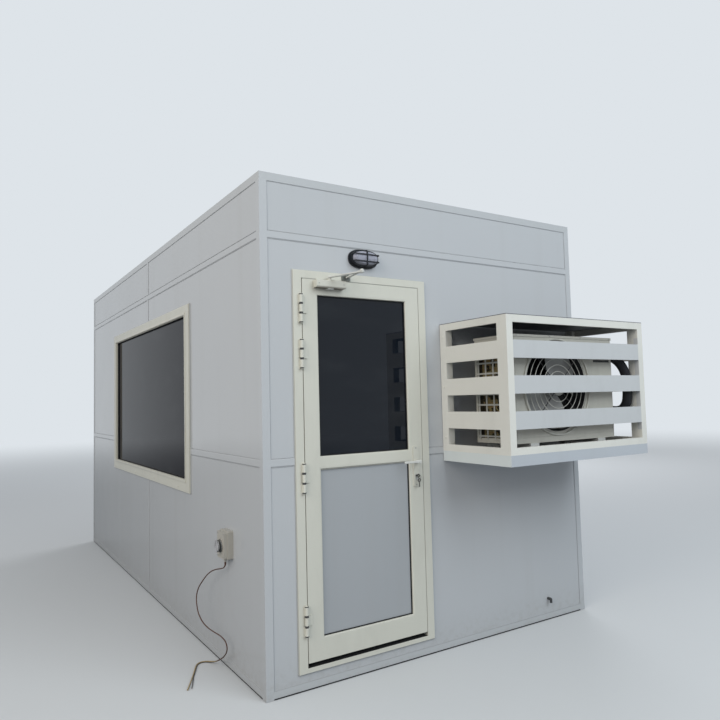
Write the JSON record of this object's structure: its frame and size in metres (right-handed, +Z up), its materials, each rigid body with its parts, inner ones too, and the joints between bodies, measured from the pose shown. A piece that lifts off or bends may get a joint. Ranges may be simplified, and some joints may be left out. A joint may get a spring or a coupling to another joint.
{
  "type": "security guard booth",
  "caption": "Flat-roofed insulated panel booth on a channel base, with a glazed hinged door, a picture window, a bulkhead lamp and a cooling unit in a slatted wall cage.",
  "frame": {"origin": "on the ground, at the middle of the rectangle that the four outer wall faces stand on", "axes": "+Z up, the door face looks along -Y, the window side looks along -X"},
  "size_m": [2.746, 5.348, 2.76],
  "materials": {
    "cladding": "gloss",
    "trim": "gloss",
    "base_steel": "matte",
    "floor_board": "matte",
    "cream_frame": "satin",
    "tinted_glass": "gloss",
    "gasket": "matte",
    "lock_white": "satin",
    "lock_steel": "satin",
    "brass": "satin",
    "closer": "satin",
    "lamp_black": "satin",
    "lamp_lens": "satin",
    "cage": "satin",
    "unit_shell": "satin",
    "unit_dark": "matte",
    "coil": "satin",
    "insulation": "matte",
    "switch_plastic": "satin",
    "switch_dark": "satin",
    "cord": "satin"
  },
  "bodies": {
    "cabin": {"base_frame": "base_steel", "floor_deck": "floor_board", "front_wall_left": "cladding", "front_wall_right": "cladding", "front_wall_over_door": "cladding", "front_wall_below_door": "cladding", "left_wall_front": "cladding", "left_wall_rear": "cladding", "left_wall_below_window": "cladding", "left_wall_over_window": "cladding", "right_wall": "cladding", "back_wall": "cladding", "roof_panel": "cladding", "corner_trims": "trim", "edge_trims": "trim", "seam_strips": "trim", "hinge_jamb": "cream_frame", "latch_jamb": "cream_frame", "door_head": "cream_frame", "threshold": "cream_frame", "frame_hinges": "cream_frame", "closer_shoe": "switch_dark", "window_frame": "cream_frame", "window_glass": "tinted_glass", "window_gasket": "gasket", "lamp_base": "lamp_black", "lamp_glass": "lamp_lens", "lamp_guard": "lamp_black", "cage_front": "cage", "cage_left_side": "cage", "cage_right_side": "cage", "cage_top": "cage", "cage_shelf": "cage", "ac_casing": "unit_shell", "ac_coil": "coil", "ac_coil_guard": "unit_shell", "ac_fan_guard": "unit_shell", "ac_valves": "unit_shell", "ac_pipe": "insulation", "switch_box": "switch_plastic", "switch_cover": "switch_plastic", "cord_gland": "switch_dark", "power_cord": "cord", "drain_spout": "base_steel"},
    "door_leaf": {"leaf_frame": "cream_frame", "leaf_glass": "tinted_glass", "leaf_panel": "cladding", "leaf_gaskets": "gasket", "leaf_hinges": "cream_frame", "lock_plates": "lock_white", "lock_cylinder": "lock_steel", "closer_body": "closer"},
    "door_handle": {"door_levers": "lock_white"},
    "lock_key": {"lock_plug": "brass", "keys": "brass"},
    "closer_main_arm": {"closer_arm": "closer"},
    "closer_link": {"closer_forearm": "closer"},
    "unit_fan": {"ac_fan": "unit_dark"},
    "switch_handle": {"switch_knob": "switch_dark"}
  },
  "joints": [
    {"name": "door_swing", "type": "hinge", "parent": "cabin", "child": "door_leaf", "pos_m": [-0.999, -2.4085, 1.188], "axis": [0, 0, -1], "range_deg": [0, 95], "stiffness_Nm_per_rad": 4, "springref_deg": -85.94},
    {"name": "handle_turn", "type": "hinge", "parent": "door_leaf", "child": "door_handle", "pos_m": [-0.245, -2.397, 1.15], "axis": [0, -1, 0], "range_deg": [0, 40], "stiffness_Nm_per_rad": 1.2, "springref_deg": -28.65},
    {"name": "key_turn", "type": "hinge", "parent": "door_leaf", "child": "lock_key", "pos_m": [-0.245, -2.397, 1.065], "axis": [0, -1, 0], "range_deg": [0, 360]},
    {"name": "closer_arm_swing", "type": "hinge", "parent": "door_leaf", "child": "closer_main_arm", "pos_m": [-0.822, -2.421, 2.19], "axis": [0, 0, 1], "range_deg": [0, 157.6]},
    {"name": "closer_link_swing", "type": "hinge", "parent": "cabin", "child": "closer_link", "pos_m": [-0.705, -2.421, 2.219], "axis": [0, 0, -1], "range_deg": [0, 17]},
    {"name": "fan_spin", "type": "hinge", "parent": "cabin", "child": "unit_fan", "pos_m": [0.469, -2.825, 1.574], "axis": [0, -1, 0], "continuous": true},
    {"name": "switch_turn", "type": "hinge", "parent": "cabin", "child": "switch_handle", "pos_m": [-1.285, -1.889, 0.706], "axis": [1, 0, 0], "range_deg": [0, 90]}
  ],
  "couplings": [
    {"joint": "closer_arm_swing", "follows": "door_swing", "ratio": 1.6563},
    {"joint": "closer_link_swing", "follows": "door_swing", "ratio": 0.17459}
  ]
}
